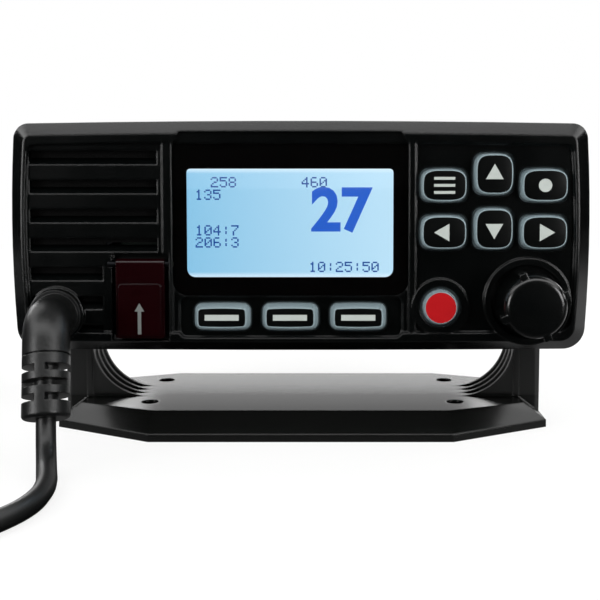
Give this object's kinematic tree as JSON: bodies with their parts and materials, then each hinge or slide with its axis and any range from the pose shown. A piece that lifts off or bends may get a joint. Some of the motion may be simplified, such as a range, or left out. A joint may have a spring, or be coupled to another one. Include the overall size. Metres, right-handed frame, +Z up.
{
  "type": "marine radio",
  "caption": "Fixed-mount marine radio on a tilting foot bracket: louvred speaker, lit display, keys, rotary knob, sprung red cover, and a fist microphone on its lead.",
  "frame": {"origin": "middle of the bracket foot's underside, on the surface that it stands on", "axes": "+Z up, +X the viewer's right along the tilt axis, front panel faces -Y"},
  "size_m": [0.2746, 0.202, 0.0928],
  "materials": {
    "housing_plastic": "satin black moulded, fine texture",
    "cast_black": "black powder coat",
    "rubber": "black moulded rubber",
    "key_silicone": "grey silicone with black printed tops",
    "knob_plastic": "satin black",
    "red_plastic": "red moulded",
    "red_key": "red silicone",
    "window_acrylic": "black printed, clear over the display",
    "lcd_glass": "lit pale blue",
    "light_guide": "white acrylic",
    "board": "green circuit board",
    "shield_tin": "tinned",
    "steel": "machined",
    "black_steel": "black oxide",
    "brass": "machined",
    "nickel": "nickel plated",
    "ptfe": "white",
    "mesh_cloth": "black acoustic cloth",
    "cone_paper": "coated paper",
    "magnet": "sintered",
    "lead_jacket": "black cable jacket"
  },
  "bodies": {
    "bracket": {"mounting_bracket": "cast_black", "mic_lead_run": "lead_jacket", "mic_lead_coil": "lead_jacket", "mic_lead_tail": "lead_jacket", "mic_front_shell": "housing_plastic", "mic_back_shell": "housing_plastic", "mic_hang_button": "steel", "mic_capsule": "shield_tin", "mic_lead_relief": "rubber"},
    "radio": {"gimbal_washer_left": "rubber", "gimbal_washer_right": "rubber", "housing_inserts": "brass", "front_bezel": "housing_plastic", "rear_housing": "cast_black", "front_gasket": "rubber", "case_screws": "black_steel", "display_window": "window_acrylic", "lcd_panel": "lcd_glass", "lcd_backlight": "light_guide", "encoder": "shield_tin", "cover_pin": "steel", "speaker_mesh": "mesh_cloth", "speaker_basket": "black_steel", "speaker_cone": "cone_paper", "speaker_magnet": "magnet", "key_mat": "rubber", "front_board": "board", "main_board": "board", "shield_can": "shield_tin", "antenna_socket": "nickel", "antenna_insulator": "ptfe", "power_gland": "rubber", "mic_lead_boot": "rubber", "mic_lead_drop": "lead_jacket"},
    "bracket_knob_left": {"bracket_knob_left": "knob_plastic", "knob_stud_left": "steel"},
    "bracket_knob_right": {"bracket_knob_right": "knob_plastic", "knob_stud_right": "steel"},
    "volume_knob": {"volume_knob": "knob_plastic", "encoder_shaft": "steel"},
    "distress_cover": {"distress_cover": "red_plastic"},
    "menu_key": {"menu_key": "key_silicone"},
    "up_key": {"up_key": "key_silicone"},
    "enter_key": {"enter_key": "key_silicone"},
    "left_key": {"left_key": "key_silicone"},
    "down_key": {"down_key": "key_silicone"},
    "right_key": {"right_key": "key_silicone"},
    "soft_key_left": {"soft_key_left": "key_silicone"},
    "soft_key_middle": {"soft_key_middle": "key_silicone"},
    "soft_key_right": {"soft_key_right": "key_silicone"},
    "channel_key": {"channel_key": "red_key"},
    "distress_button": {"distress_button": "red_plastic"},
    "mic_key_down": {"mic_key_down": "rubber"},
    "mic_key_up": {"mic_key_up": "rubber"},
    "mic_talk_key": {"mic_talk_key": "rubber"}
  },
  "joints": [
    {"name": "radio_tilt", "type": "hinge", "parent": "bracket", "child": "radio", "pos_m": [0, 0, 0.06], "axis": [1, 0, 0], "range_deg": [-20, 5], "deforming": ["mic_lead_drop"]},
    {"name": "knob_left_turn", "type": "hinge", "parent": "radio", "child": "bracket_knob_left", "pos_m": [-0.081, 0, 0.06], "axis": [-1, 0, 0], "continuous": true},
    {"name": "knob_right_turn", "type": "hinge", "parent": "radio", "child": "bracket_knob_right", "pos_m": [0.081, 0, 0.06], "axis": [1, 0, 0], "continuous": true},
    {"name": "volume_turn", "type": "hinge", "parent": "radio", "child": "volume_knob", "pos_m": [0.0653, -0.038, 0.0409], "axis": [0, -1, 0], "continuous": true},
    {"name": "cover_lift", "type": "hinge", "parent": "radio", "child": "distress_cover", "pos_m": [-0.04605, -0.0312, 0.0516], "axis": [-1, 0, 0], "range_deg": [0, 95], "stiffness_Nm_per_rad": 0.004, "springref_deg": -20.05},
    {"name": "menu_key_press", "type": "slide", "parent": "radio", "child": "menu_key", "axis": [0, 1, 0], "range_m": [0, 0.0008], "stiffness_N_per_m": 900, "springref_m": -0.0012},
    {"name": "up_key_press", "type": "slide", "parent": "radio", "child": "up_key", "axis": [0, 1, 0], "range_m": [0, 0.0008], "stiffness_N_per_m": 900, "springref_m": -0.0012},
    {"name": "enter_key_press", "type": "slide", "parent": "radio", "child": "enter_key", "axis": [0, 1, 0], "range_m": [0, 0.0008], "stiffness_N_per_m": 900, "springref_m": -0.0012},
    {"name": "left_key_press", "type": "slide", "parent": "radio", "child": "left_key", "axis": [0, 1, 0], "range_m": [0, 0.0008], "stiffness_N_per_m": 900, "springref_m": -0.0012},
    {"name": "down_key_press", "type": "slide", "parent": "radio", "child": "down_key", "axis": [0, 1, 0], "range_m": [0, 0.0008], "stiffness_N_per_m": 900, "springref_m": -0.0012},
    {"name": "right_key_press", "type": "slide", "parent": "radio", "child": "right_key", "axis": [0, 1, 0], "range_m": [0, 0.0008], "stiffness_N_per_m": 900, "springref_m": -0.0012},
    {"name": "soft_key_left_press", "type": "slide", "parent": "radio", "child": "soft_key_left", "axis": [0, 1, 0], "range_m": [0, 0.0008], "stiffness_N_per_m": 900, "springref_m": -0.0012},
    {"name": "soft_key_middle_press", "type": "slide", "parent": "radio", "child": "soft_key_middle", "axis": [0, 1, 0], "range_m": [0, 0.0008], "stiffness_N_per_m": 900, "springref_m": -0.0012},
    {"name": "soft_key_right_press", "type": "slide", "parent": "radio", "child": "soft_key_right", "axis": [0, 1, 0], "range_m": [0, 0.0008], "stiffness_N_per_m": 900, "springref_m": -0.0012},
    {"name": "channel_key_press", "type": "slide", "parent": "radio", "child": "channel_key", "axis": [0, 1, 0], "range_m": [0, 0.0008], "stiffness_N_per_m": 900, "springref_m": -0.0012},
    {"name": "distress_button_press", "type": "slide", "parent": "radio", "child": "distress_button", "axis": [0, 1, 0], "range_m": [0, 0.0008], "stiffness_N_per_m": 900, "springref_m": -0.0012},
    {"name": "mic_key_down_press", "type": "slide", "parent": "bracket", "child": "mic_key_down", "axis": [0, 0.1045, -0.9945], "range_m": [0, 0.0008], "stiffness_N_per_m": 900, "springref_m": -0.0012},
    {"name": "mic_key_up_press", "type": "slide", "parent": "bracket", "child": "mic_key_up", "axis": [0, 0.1045, -0.9945], "range_m": [0, 0.0008], "stiffness_N_per_m": 900, "springref_m": -0.0012},
    {"name": "mic_talk_key_press", "type": "slide", "parent": "bracket", "child": "mic_talk_key", "axis": [1, 0, 0], "range_m": [0, 0.0015], "stiffness_N_per_m": 900, "springref_m": -0.0012}
  ]
}
